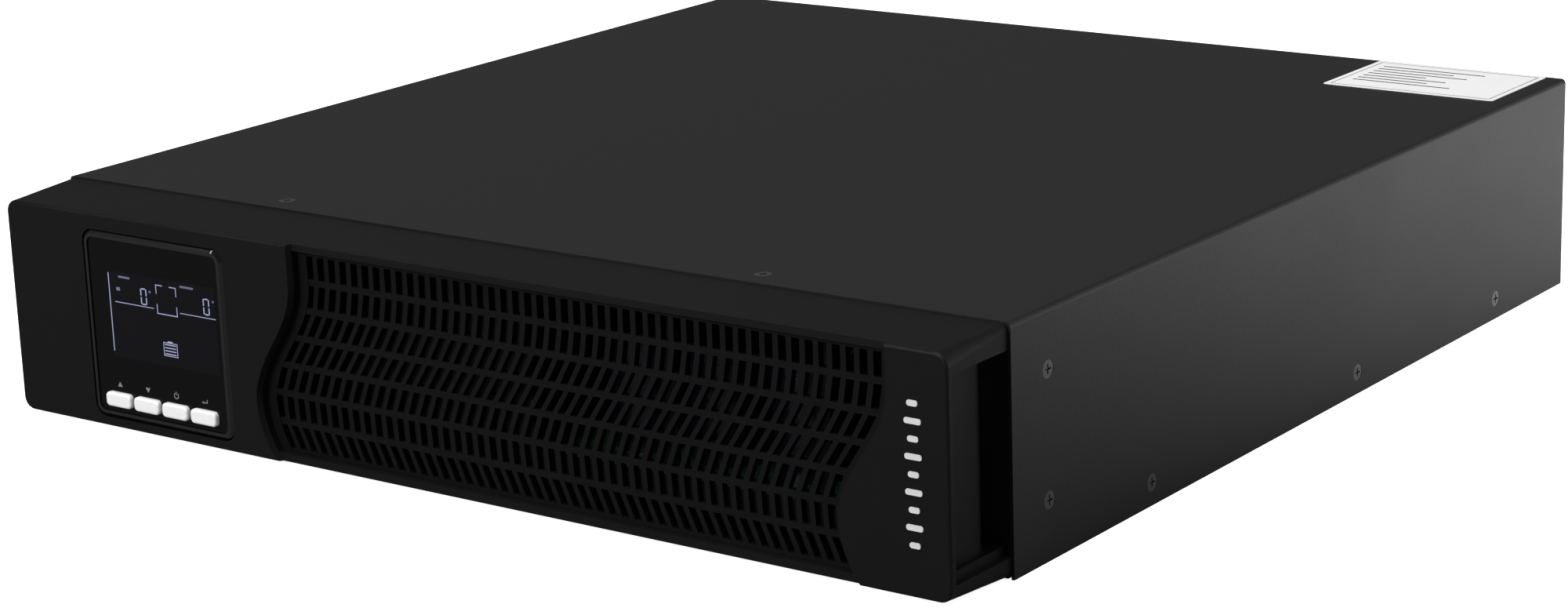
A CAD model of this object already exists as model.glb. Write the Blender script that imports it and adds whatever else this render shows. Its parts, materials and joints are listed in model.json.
import bpy
import bmesh
import json
from math import cos, pi, radians, sin
from mathutils import Matrix, Vector


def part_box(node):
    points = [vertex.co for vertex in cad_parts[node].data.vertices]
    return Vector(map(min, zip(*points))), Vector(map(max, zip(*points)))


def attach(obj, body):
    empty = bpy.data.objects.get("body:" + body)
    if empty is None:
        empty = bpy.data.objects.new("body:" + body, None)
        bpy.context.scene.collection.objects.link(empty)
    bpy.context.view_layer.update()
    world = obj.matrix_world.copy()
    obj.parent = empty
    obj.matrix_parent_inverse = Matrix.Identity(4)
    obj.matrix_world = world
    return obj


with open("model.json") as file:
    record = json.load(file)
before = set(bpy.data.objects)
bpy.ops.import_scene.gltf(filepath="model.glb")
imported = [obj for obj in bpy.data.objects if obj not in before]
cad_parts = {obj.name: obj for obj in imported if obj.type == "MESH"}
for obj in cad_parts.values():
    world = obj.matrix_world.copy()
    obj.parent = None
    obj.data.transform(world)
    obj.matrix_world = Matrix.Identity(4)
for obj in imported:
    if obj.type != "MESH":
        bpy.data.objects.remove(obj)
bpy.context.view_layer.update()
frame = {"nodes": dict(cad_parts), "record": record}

MM = 0.001

# Thickness of a thin printed or lit layer, in metres
LAYER = 0.05 * MM

# How bright the surround and the floor are outside the camera's own view
SURROUND_LOW = 0.13
SURROUND_HIGH = 0.95
SURROUND_BRIGHT_SIDE = (0.86, 0.5, 0.05)
FLOOR_SEEN = (0.90, 0.90, 0.90, 1.0)
FLOOR_UNSEEN = (0.20, 0.20, 0.20, 1.0)
FLOOR_SEEN_GLOW = 0.9
FLOOR_GLOW_FRONT_Y = -0.15
FLOOR_GLOW_REAR_Y = 0.6
FLOOR_GLOW_LOW = 0.03
FLOOR_GLOW_HIGH = 1.6

FACE = {name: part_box(name) for name in frame["nodes"]}
WINDOW_LOW, WINDOW_HIGH = FACE["display_window"]
LABEL_LOW, LABEL_HIGH = FACE["rating_label"]
DISPLAY_X = (WINDOW_LOW[0] + WINDOW_HIGH[0]) / 2
DISPLAY_Z = (WINDOW_LOW[2] + WINDOW_HIGH[2]) / 2


# Materials ------------------------------------------------------------------------------

def new_material(name):
    """A node material, its shader and a function that adds nodes to it."""
    material = bpy.data.materials.new(name)
    material.use_nodes = True
    nodes = material.node_tree.nodes
    shader = nodes["Principled BSDF"]

    def add(kind, inputs=None, **settings):
        node = nodes.new(kind)
        for key, value in settings.items():
            setattr(node, key, value)
        for key, value in (inputs or {}).items():
            node.inputs[key].default_value = value
        return node

    return material, shader, add


def grey(value, blue=1.0):
    """A neutral colour, with its blue channel scaled."""
    return (value, value, value * blue, 1.0)


def grained(name, color, roughness, grain_scale, bump, *, metallic=0.0, specular=0.5,
            spread=0.25, patch_scale=9.0, coat=0.0, stretch=(1.0, 1.0, 1.0)):
    """A surface with fine grain in its bump, and soft patches in its colour and roughness."""
    material, shader, add = new_material(name)
    link = material.node_tree.links.new
    place = add("ShaderNodeTexCoord").outputs["Object"]
    stretched = add("ShaderNodeMapping", {"Scale": stretch})
    link(place, stretched.inputs["Vector"])
    grain = add("ShaderNodeTexNoise", {"Scale": grain_scale, "Detail": 4.0, "Roughness": 0.6})
    link(stretched.outputs[0], grain.inputs["Vector"])
    patch = add("ShaderNodeTexNoise", {"Scale": patch_scale, "Detail": 5.0, "Roughness": 0.65})
    link(place, patch.inputs["Vector"])
    tint = add("ShaderNodeMapRange", {"To Min": 1.0 - spread, "To Max": 1.0 + spread})
    link(patch.outputs["Fac"], tint.inputs["Value"])
    speckle = add("ShaderNodeMapRange", {"To Min": 1.0 - spread, "To Max": 1.0 + spread})
    link(grain.outputs["Fac"], speckle.inputs["Value"])
    mottle = add("ShaderNodeMath", operation="MULTIPLY")
    link(tint.outputs[0], mottle.inputs[0])
    link(speckle.outputs[0], mottle.inputs[1])
    paint = add("ShaderNodeVectorMath", {0: color[:3]}, operation="SCALE")
    link(mottle.outputs[0], paint.inputs["Scale"])
    link(paint.outputs[0], shader.inputs["Base Color"])
    rough = add("ShaderNodeMapRange", {"To Min": roughness - 0.07, "To Max": roughness + 0.07})
    link(patch.outputs["Fac"], rough.inputs["Value"])
    link(rough.outputs[0], shader.inputs["Roughness"])
    relief = add("ShaderNodeBump", {"Strength": bump, "Distance": 0.15 * MM})
    link(grain.outputs["Fac"], relief.inputs["Height"])
    link(relief.outputs[0], shader.inputs["Normal"])
    shader.inputs["Metallic"].default_value = metallic
    shader.inputs["Specular IOR Level"].default_value = specular
    shader.inputs["Coat Weight"].default_value = coat
    return material


def glowing(name, color, strength):
    """Lit liquid-crystal elements, uneven like a backlight behind them."""
    material, shader, add = new_material(name)
    link = material.node_tree.links.new
    place = add("ShaderNodeTexCoord").outputs["Object"]
    cloud = add("ShaderNodeTexNoise", {"Scale": 60.0, "Detail": 2.0})
    link(place, cloud.inputs["Vector"])
    level = add("ShaderNodeMapRange", {"To Min": strength * 0.75, "To Max": strength * 1.25})
    link(cloud.outputs["Fac"], level.inputs["Value"])
    link(level.outputs[0], shader.inputs["Emission Strength"])
    shader.inputs["Base Color"].default_value = (0.02, 0.02, 0.03, 1.0)
    shader.inputs["Emission Color"].default_value = color
    shader.inputs["Roughness"].default_value = 0.35
    return material


def circuit_board(name, color):
    """Solder mask with fine straight tracks showing through it."""
    material, shader, add = new_material(name)
    link = material.node_tree.links.new
    place = add("ShaderNodeTexCoord").outputs["Object"]
    tracks = add("ShaderNodeTexBrick", {
        "Color1": color,
        "Color2": (color[0] * 1.6, color[1] * 1.3, color[2] * 1.5, 1.0),
        "Mortar": (color[0] * 2.4, color[1] * 1.9, color[2] * 2.0, 1.0),
        "Scale": 60.0,
        "Mortar Size": 0.03,
    })
    link(place, tracks.inputs["Vector"])
    link(tracks.outputs["Color"], shader.inputs["Base Color"])
    relief = add("ShaderNodeBump", {"Strength": 0.4, "Distance": 0.05 * MM})
    link(tracks.outputs["Fac"], relief.inputs["Height"])
    link(relief.outputs[0], shader.inputs["Normal"])
    shader.inputs["Roughness"].default_value = 0.35
    return material


def wound_wire(name, color):
    """Enamelled copper wire laid side by side."""
    material, shader, add = new_material(name)
    link = material.node_tree.links.new
    place = add("ShaderNodeTexCoord").outputs["Object"]
    turns = add("ShaderNodeTexWave", {"Scale": 220.0, "Distortion": 1.5, "Detail": 1.0})
    link(place, turns.inputs["Vector"])
    ramp = add("ShaderNodeMix", data_type="RGBA")
    ramp.inputs[6].default_value = (color[0] * 0.3, color[1] * 0.3, color[2] * 0.3, 1.0)
    ramp.inputs[7].default_value = color
    link(turns.outputs["Fac"], ramp.inputs[0])
    link(ramp.outputs[2], shader.inputs["Base Color"])
    relief = add("ShaderNodeBump", {"Strength": 0.8, "Distance": 0.5 * MM})
    link(turns.outputs["Fac"], relief.inputs["Height"])
    link(relief.outputs[0], shader.inputs["Normal"])
    shader.inputs["Metallic"].default_value = 0.7
    shader.inputs["Roughness"].default_value = 0.35
    return material


def liquid_crystal(name):
    """The dark blue active area of the display, with its fine grid of dots."""
    material, shader, add = new_material(name)
    link = material.node_tree.links.new
    place = add("ShaderNodeTexCoord").outputs["Object"]
    flat = add("ShaderNodeMapping", {"Rotation": (radians(90), 0.0, 0.0)})
    link(place, flat.inputs["Vector"])
    dots = add("ShaderNodeTexBrick", {
        "Color1": (0.0020, 0.0021, 0.0036, 1.0),
        "Color2": (0.0024, 0.0025, 0.0044, 1.0),
        "Mortar": (0.0018, 0.0018, 0.0028, 1.0),
        "Scale": 1400.0,
        "Mortar Size": 0.1,
        "Brick Width": 0.5,
        "Row Height": 0.5,
    }, offset=0.0)
    link(flat.outputs[0], dots.inputs["Vector"])
    link(dots.outputs["Color"], shader.inputs["Base Color"])
    link(dots.outputs["Color"], shader.inputs["Emission Color"])
    shader.inputs["Emission Strength"].default_value = 0.5
    shader.inputs["Roughness"].default_value = 0.12
    shader.inputs["Specular IOR Level"].default_value = 0.15
    return material


BLACK_SHEET = grained("powder_coat", grey(0.0085, 1.05), 0.42, 1500.0, 0.35, specular=0.27)
BEZEL_PLASTIC = grained("spark_eroded_black", grey(0.0042, 1.05), 0.46, 2600.0, 0.4, specular=0.14)
GRILLE_PLASTIC = grained("grille_black", grey(0.0035, 1.05), 0.5, 2600.0, 0.3, specular=0.1)
SOCKET_PLASTIC = grained("socket_black", grey(0.012), 0.4, 1800.0, 0.2, specular=0.35)
WINDOW_GLOSS = grained("window_gloss", grey(0.0022, 1.2), 0.12, 300.0, 0.01,
                       spread=0.1, specular=0.12)
RIM_GLOSS = grained("rim_gloss", grey(0.0045), 0.14, 300.0, 0.01, spread=0.1, specular=0.5)
BUTTON_WHITE = grained("button_white", (0.93, 0.93, 0.93, 1.0), 0.3, 900.0, 0.05, spread=0.03)
PRINT_WHITE = grained("print_white", (0.72, 0.72, 0.72, 1.0), 0.5, 900.0, 0.05, spread=0.05)
PRINT_GREY = grained("print_grey", (0.22, 0.22, 0.23, 1.0), 0.5, 900.0, 0.05, spread=0.05)
PRINT_DARK = grained("print_dark", (0.03, 0.03, 0.03, 1.0), 0.5, 900.0, 0.05, spread=0.1)
LABEL_PAPER = grained("label_paper", (0.92, 0.92, 0.92, 1.0), 0.42, 700.0, 0.1, spread=0.05)
ZINC = grained("zinc_sheet", (0.42, 0.43, 0.45, 1.0), 0.34, 500.0, 0.15, metallic=1.0,
               stretch=(1.0, 12.0, 1.0), spread=0.2, patch_scale=30.0)
DARK_SCREW = grained("black_zinc", grey(0.11), 0.24, 900.0, 0.2, metallic=0.85)
BRIGHT_SCREW = grained("bright_zinc", (0.6, 0.6, 0.62, 1.0), 0.26, 900.0, 0.15, metallic=1.0)
WIRE = grained("plated_wire", (0.58, 0.58, 0.6, 1.0), 0.2, 700.0, 0.1, metallic=1.0)
FAN_PLASTIC = grained("fan_black", grey(0.01), 0.38, 1200.0, 0.15, specular=0.35)
BATTERY_CASE = grained("battery_case", grey(0.06), 0.45, 1100.0, 0.25)
PLUG_GREY = grained("plug_grey", grey(0.2), 0.5, 1100.0, 0.2)
LEAD_RED = grained("lead_red", (0.4, 0.02, 0.02, 1.0), 0.4, 700.0, 0.1, spread=0.1)
BRASS = grained("turned_brass", (0.6, 0.42, 0.16, 1.0), 0.28, 700.0, 0.2, metallic=1.0)
ALUMINIUM = grained("extruded_aluminium", (0.6, 0.61, 0.62, 1.0), 0.35, 600.0, 0.2,
                    metallic=1.0, stretch=(8.0, 0.5, 8.0))
SLEEVE = grained("capacitor_sleeve", (0.006, 0.008, 0.02, 1.0), 0.25, 500.0, 0.05, coat=0.3)
FERRITE = grained("ferrite", grey(0.045), 0.55, 1300.0, 0.4)
DARK_PART = grained("moulded_component", grey(0.02), 0.4, 1500.0, 0.2)
TERMINAL_GREEN = grained("terminal_green", (0.03, 0.19, 0.06, 1.0), 0.4, 1200.0, 0.15)
BOARD = circuit_board("solder_mask", (0.012, 0.09, 0.035, 1.0))
COPPER = wound_wire("copper_winding", (0.55, 0.2, 0.07, 1.0))
LCD_DARK = liquid_crystal("lcd_active")
LCD_LIT = glowing("lcd_lit", (0.62, 0.66, 1.0, 1.0), 0.55)
LCD_DIM = glowing("lcd_dim", (0.55, 0.6, 0.95, 1.0), 0.2)

SLOT_MATERIALS = {
    "case_paint": BLACK_SHEET,
    "zinc_sheet": ZINC,
    "screw_black": DARK_SCREW,
    "screw_bright": BRIGHT_SCREW,
    "guard_wire": WIRE,
    "bezel_black": BEZEL_PLASTIC,
    "fan_black": FAN_PLASTIC,
    "socket_black": SOCKET_PLASTIC,
    "window_black": WINDOW_GLOSS,
    "button_white": BUTTON_WHITE,
    "label_paper": LABEL_PAPER,
    "lcd_glass": WINDOW_GLOSS,
    "board_green": BOARD,
    "switch_black": DARK_PART,
    "battery_case": BATTERY_CASE,
    "plug_grey": PLUG_GREY,
    "lead_red": LEAD_RED,
    "standoff_brass": BRASS,
    "sink_aluminium": ALUMINIUM,
    "capacitor_sleeve": SLEEVE,
    "ferrite": FERRITE,
    "copper_wound": COPPER,
    "port_metal": BRIGHT_SCREW,
    "terminal_green": TERMINAL_GREEN,
}
NODE_MATERIALS = {"front_grille": GRILLE_PLASTIC, "brand_mark": PRINT_WHITE,
                  "display_housing": RIM_GLOSS}

# Bevel widths of the edges that show, in metres
BEVELS = {
    "top_cover": 0.25 * MM,
    "base_pan": 0.25 * MM,
    "rear_panel": 0.15 * MM,
    "front_bezel": 0.35 * MM,
    "front_grille": 0.22 * MM,
    "display_housing": 0.3 * MM,
    "display_window": 0.2 * MM,
    "inlet_housing": 0.3 * MM,
    "outlet_bank_lower": 0.25 * MM,
    "outlet_bank_upper": 0.25 * MM,
    "slot_cover": 0.2 * MM,
    "usb_port": 0.15 * MM,
    "serial_port": 0.1 * MM,
    "epo_connector": 0.2 * MM,
    "breaker_body": 0.2 * MM,
    "fan_frame_1": 0.3 * MM,
    "fan_frame_2": 0.3 * MM,
    "fan_rotor_1": 0.2 * MM,
    "fan_rotor_2": 0.2 * MM,
    "case_screws": 0.1 * MM,
    "jackscrews": 0.12 * MM,
}


def dress_nodes():
    """Every CAD node gets its material, and the shown edges get a small round."""
    slots = {part["node"]: part["material_slot"] for part in frame["record"]["subparts"]}
    for name, node in frame["nodes"].items():
        material = NODE_MATERIALS.get(name, SLOT_MATERIALS[slots[name]])
        node.data.materials.clear()
        node.data.materials.append(material)
        for face in node.data.polygons:
            face.material_index = 0
        node.data.shade_smooth()
        node.data.set_sharp_from_angle(angle=radians(28))
        if name in BEVELS:
            bevel = node.modifiers.new("edge_round", "BEVEL")
            bevel.width = BEVELS[name]
            bevel.segments = 2
            bevel.limit_method = "ANGLE"
            bevel.angle_limit = radians(32)
            bevel.harden_normals = True


# Thin printed and lit pieces ------------------------------------------------------------

def slab_piece(name, outlines, surface, thickness, material, body, facing="front"):
    """Flat shapes raised over a surface: outlines are lists of points in the plane."""
    mesh = bmesh.new()
    for outline in outlines:
        front, back = (
            [mesh.verts.new(raise_point(point, surface, rise, facing)) for point in outline]
            for rise in (thickness, 0.0)
        )
        mesh.faces.new(front)
        mesh.faces.new(list(reversed(back)))
        for index in range(len(outline)):
            after = (index + 1) % len(outline)
            mesh.faces.new((front[index], back[index], back[after], front[after]))
    bmesh.ops.recalc_face_normals(mesh, faces=mesh.faces)
    data = bpy.data.meshes.new(name)
    mesh.to_mesh(data)
    mesh.free()
    piece = bpy.data.objects.new(name, data)
    bpy.context.scene.collection.objects.link(piece)
    data.materials.append(material)
    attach(piece, body)
    return piece


def raise_point(point, surface, rise, facing):
    """A plane point as a space point, raised off a front, rear or top surface."""
    across, along = point
    if facing == "front":
        return (across, surface - rise, along)
    if facing == "rear":
        return (across, surface + rise, along)
    return (across, along, surface + rise)


def bar(x, z, width, height, radius=0.0):
    """The outline of a bar with rounded ends, given in millimetres about its centre."""
    corner = min(radius, width / 2, height / 2)
    if corner <= 0:
        corners = ((-1, -1), (1, -1), (1, 1), (-1, 1))
        return [((x + i * width / 2) * MM, (z + j * height / 2) * MM) for i, j in corners]
    points = []
    for quarter, (i, j) in enumerate(((1, 1), (-1, 1), (-1, -1), (1, -1))):
        for step in range(5):
            turn = (quarter + step / 4) * pi / 2
            centre_x = x + i * (width / 2 - corner)
            centre_z = z + j * (height / 2 - corner)
            point = (centre_x + corner * cos(turn), centre_z + corner * sin(turn))
            points.append((point[0] * MM, point[1] * MM))
    return points


def arc_band(x, z, radius, width, start, end, steps=20):
    """The outline of part of a ring, from start to end in degrees."""
    turns = [radians(start + (end - start) * step / steps) for step in range(steps + 1)]
    outer = [((x + (radius + width / 2) * cos(t)) * MM, (z + (radius + width / 2) * sin(t)) * MM)
             for t in turns]
    inner = [((x + (radius - width / 2) * cos(t)) * MM, (z + (radius - width / 2) * sin(t)) * MM)
             for t in reversed(turns)]
    return outer + inner


def polygon(*points):
    """A closed outline from points in millimetres."""
    return [(x * MM, z * MM) for x, z in points]


def frame_bars(x, z, width, height, line):
    """The four bars of a hollow rectangle."""
    return [
        bar(x, z + (height - line) / 2, width, line),
        bar(x, z - (height - line) / 2, width, line),
        bar(x - (width - line) / 2, z, line, height - 2 * line),
        bar(x + (width - line) / 2, z, line, height - 2 * line),
    ]


def digit_zero(x, z, width, height, line):
    """A seven-segment zero: six bars with small gaps between them."""
    gap = 0.3
    half = height / 2 - line / 2
    shapes = [bar(x, z + side * half, width - 2 * line - gap, line) for side in (-1, 1)]
    for i in (-1, 1):
        for j in (-1, 1):
            length = height / 2 - 2 * gap
            shapes.append(bar(x + i * (width - line) / 2, z + j * height / 4, line, length))
    return shapes


def display_picture():
    """The lit picture of the display: input and output readings round a flow diagram."""
    surface = WINDOW_LOW[1]
    x = DISPLAY_X / MM
    z = DISPLAY_Z / MM
    left, right = x - 24.8, x + 31.9
    slab_piece("lcd_active_area", [bar((left + right) / 2, z + 5.2, right - left, 34.0, 0.6)],
               surface, LAYER, LCD_DARK, "display")
    lit = [bar(x - 24.1, z + 5.7, 0.4, 30.8)]
    lit += [bar(x - 11.0, z + 10.0, 20.7, 0.28), bar(x + 22.5, z + 10.0, 18.6, 0.28)]
    for side in (-1, 1):
        lit += [
            bar(x + 6.4 + side * 3.6, z + 19.4, 3.6, 0.35),
            bar(x + 6.4 + side * 5.2, z + 17.6, 0.35, 3.2),
            bar(x + 6.4 + side * 5.2, z + 10.2, 0.35, 3.6),
        ]
    lit += [bar(x + 6.4, z + 8.4, 10.8, 0.35)]
    lit += digit_zero(x - 5.7, z + 13.9, 3.2, 6.5, 0.5)
    lit += digit_zero(x + 27.3, z + 14.3, 3.2, 6.4, 0.5)
    battery_x = x + 6.6
    battery_z = z - 5.2
    lit += frame_bars(battery_x, battery_z, 7.4, 5.4, 0.3)
    lit += [bar(battery_x, battery_z + 3.0, 2.6, 0.5)]
    lit += [
        bar(battery_x, battery_z - 1.8 + 1.2 * index, 5.8, 0.42) for index in range(4)
    ]
    slab_piece("lcd_lit_shapes", lit, surface - LAYER, LAYER, LCD_LIT, "display")
    dim = [bar(x - 15.7, z + 20.1, 6.0, 0.8), bar(x + 17.5, z + 20.4, 7.0, 0.8)]
    dim += [bar(x - 19.3, z + 15.2, 2.0, 1.3)]
    dim += [bar(x - 2.3, z + 16.2, 1.0, 0.8), bar(x + 31.0, z + 16.7, 0.9, 0.8)]
    slab_piece("lcd_dim_shapes", dim, surface - LAYER, LAYER, LCD_DIM, "display")


def button_icons():
    """Printed signs over the buttons: up, down, leave and confirm."""
    surface = WINDOW_LOW[1]
    centres = {}
    for name in ("up", "down", "escape", "enter"):
        low, high = FACE[f"button_{name}"]
        centres[name] = ((low[0] + high[0]) / 2 / MM, high[2] / MM + 2.6)
    x, z = centres["up"]
    shapes = [polygon((x - 1.3, z - 0.9), (x + 1.3, z - 0.9), (x, z + 1.1))]
    x, z = centres["down"]
    shapes.append(polygon((x - 1.3, z + 0.9), (x, z - 1.1), (x + 1.3, z + 0.9)))
    x, z = centres["escape"]
    shapes += [arc_band(x, z, 1.1, 0.35, 120, 420), bar(x, z + 1.0, 0.35, 1.3)]
    x, z = centres["enter"]
    shapes += [bar(x + 0.2, z - 0.4, 2.2, 0.35), bar(x + 1.2, z + 0.3, 0.35, 1.1)]
    shapes.append(polygon((x - 1.6, z - 0.4), (x - 0.6, z - 1.0), (x - 0.6, z + 0.2)))
    slab_piece("button_icons", shapes, surface, LAYER, PRINT_GREY, "display")


def label_print():
    """Blank ruled print on the top label: lines where words would be."""
    left = LABEL_LOW[0] / MM
    right = LABEL_HIGH[0] / MM
    front = LABEL_LOW[1] / MM
    depth = LABEL_HIGH[1] / MM - front
    width = right - left
    shapes = frame_bars(left + width / 2, front + depth / 2, width - 5, depth - 5, 0.35)
    lengths = (0.74, 0.55, 0.68, 0.42, 0.6, 0.5, 0.7)
    for row, share in enumerate(lengths):
        length = (width - 14) * share
        y = front + depth - 10 - row * 4.8
        shapes.append(bar(left + 7 + length / 2, y, length, 1.1))
    slab_piece("label_print", shapes, LABEL_HIGH[2], LAYER, PRINT_DARK, "chassis", "top")


def rear_print():
    """A plain bar over each rear port, where its words would be."""
    shapes = []
    face = FACE["rear_panel"][1][1]
    for name in ("serial_port", "usb_port", "epo_connector"):
        low, high = FACE[name]
        middle = (low[0] + high[0]) / 2 / MM
        shapes.append(bar(middle, high[2] / MM + 3.4, (high[0] - low[0]) / MM * 0.6, 0.8))
    slab_piece("rear_print", shapes, face, LAYER, PRINT_WHITE, "chassis", "rear")


def fan_labels():
    """A plain round label on each fan's hub."""
    for number in (1, 2):
        low, high = FACE[f"fan_rotor_{number}"]
        x = (low[0] + high[0]) / 2 / MM
        z = (FACE[f"fan_frame_{number}"][0][2] + FACE[f"fan_frame_{number}"][1][2]) / 2 / MM
        rings = [arc_band(x, z, 7.0, 11.6, 0, 358, 48)]
        slab_piece(f"fan_label_{number}", rings, high[1], LAYER, LABEL_PAPER,
                   f"fan_rotor_{number}", "rear")


# Stage ----------------------------------------------------------------------------------

def studio_floor():
    """A pale floor, white in view and dimmer in reflections, that glows toward the rear."""
    half = 14.0
    data = bpy.data.meshes.new("floor")
    corners = [(-half, -half, 0), (half, -half, 0), (half, half, 0), (-half, half, 0)]
    data.from_pydata(corners, [], [(0, 1, 2, 3)])
    floor = bpy.data.objects.new("floor", data)
    bpy.context.scene.collection.objects.link(floor)
    material, shader, add = new_material("floor_pale")
    link = material.node_tree.links.new
    noise = add("ShaderNodeTexNoise", {"Scale": 3.0, "Detail": 3.0})
    level = add("ShaderNodeMapRange", {"To Min": 0.75, "To Max": 0.85})
    link(noise.outputs["Fac"], level.inputs["Value"])
    link(level.outputs[0], shader.inputs["Roughness"])
    path = add("ShaderNodeLightPath")
    shade = add("ShaderNodeMix", data_type="RGBA")
    shade.inputs[6].default_value = FLOOR_UNSEEN
    shade.inputs[7].default_value = FLOOR_SEEN
    link(path.outputs["Is Camera Ray"], shade.inputs[0])
    link(shade.outputs[2], shader.inputs["Base Color"])
    shader.inputs["Emission Color"].default_value = (1.0, 1.0, 1.0, 1.0)
    place = add("ShaderNodeTexCoord").outputs["Object"]
    parts = add("ShaderNodeSeparateXYZ")
    link(place, parts.inputs[0])
    glow = add("ShaderNodeMapRange", {
        "From Min": FLOOR_GLOW_FRONT_Y,
        "From Max": FLOOR_GLOW_REAR_Y,
        "To Min": FLOOR_GLOW_LOW,
        "To Max": FLOOR_GLOW_HIGH,
    }, interpolation_type="SMOOTHSTEP")
    link(parts.outputs["Y"], glow.inputs["Value"])
    lit = add("ShaderNodeMix")
    link(path.outputs["Is Camera Ray"], lit.inputs[0])
    link(glow.outputs[0], lit.inputs[2])
    lit.inputs[3].default_value = FLOOR_SEEN_GLOW
    link(lit.outputs[0], shader.inputs["Emission Strength"])
    shader.inputs["Specular IOR Level"].default_value = 0.05
    data.materials.append(material)


def area_light(name, place, target, size, power):
    """A soft square light at a place, aimed at a target."""
    data = bpy.data.lights.new(name, "AREA")
    data.shape = "RECTANGLE"
    data.size, data.size_y = size
    data.energy = power
    light = bpy.data.objects.new(name, data)
    light.location = place
    light.rotation_euler = (Vector(target) - Vector(place)).to_track_quat("-Z", "Y").to_euler()
    bpy.context.scene.collection.objects.link(light)


def studio_light():
    """Soft light from above, and a surround that looks white but lights the object dimly."""
    world = bpy.data.worlds.new("studio")
    bpy.context.scene.world = world
    world.use_nodes = True
    nodes = world.node_tree.nodes
    link = world.node_tree.links.new
    surround = nodes["Background"]
    surround.inputs["Color"].default_value = (1.0, 1.0, 1.0, 1.0)
    path = nodes.new("ShaderNodeLightPath")
    place = nodes.new("ShaderNodeTexCoord")
    aim = nodes.new("ShaderNodeVectorMath")
    aim.operation = "DOT_PRODUCT"
    aim.inputs[1].default_value = SURROUND_BRIGHT_SIDE
    link(place.outputs["Generated"], aim.inputs[0])
    glow = nodes.new("ShaderNodeMapRange")
    glow.interpolation_type = "SMOOTHSTEP"
    glow.inputs["From Min"].default_value = 0.35
    glow.inputs["From Max"].default_value = 1.0
    glow.inputs["To Min"].default_value = SURROUND_LOW
    glow.inputs["To Max"].default_value = SURROUND_HIGH
    link(aim.outputs["Value"], glow.inputs["Value"])
    strength = nodes.new("ShaderNodeMix")
    link(path.outputs["Is Camera Ray"], strength.inputs[0])
    link(glow.outputs[0], strength.inputs[2])
    strength.inputs[3].default_value = 1.0
    link(strength.outputs[0], surround.inputs["Strength"])
    area_light("key_light", (0.0, -0.5, 2.7), (0.0, 0.0, 0.0), (1.3, 1.3), 52.0)
    area_light("front_light", (-0.5, -2.1, 1.1), (0.0, -0.2, 0.05), (1.0, 0.6), 36.0)
    area_light("edge_light", (-1.6, -0.9, 2.0), (-0.14, -0.23, 0.05), (0.4, 0.3), 5.0)
    bpy.context.scene.view_settings.view_transform = "Standard"


def photo_camera():
    """The camera, looking down at the front right corner."""
    yaw, pitch, roll = 0.6383, 0.2667, -0.0343
    forward = Vector((-sin(yaw) * cos(pitch), cos(yaw) * cos(pitch), -sin(pitch)))
    level_right = Vector((cos(yaw), sin(yaw), 0.0))
    level_up = level_right.cross(forward)
    right = level_right * cos(roll) + level_up * sin(roll)
    up = level_up * cos(roll) - level_right * sin(roll)
    data = bpy.data.cameras.new("camera")
    data.sensor_width = 36.0
    data.lens = 80.74
    camera = bpy.data.objects.new("camera", data)
    turn = Matrix((right, up, -forward)).transposed().to_4x4()
    camera.matrix_world = Matrix.Translation((0.81024, -1.1163, 0.39468)) @ turn
    bpy.context.scene.collection.objects.link(camera)
    bpy.context.scene.camera = camera


dress_nodes()
display_picture()
button_icons()
label_print()
rear_print()
fan_labels()
studio_floor()
studio_light()
photo_camera()
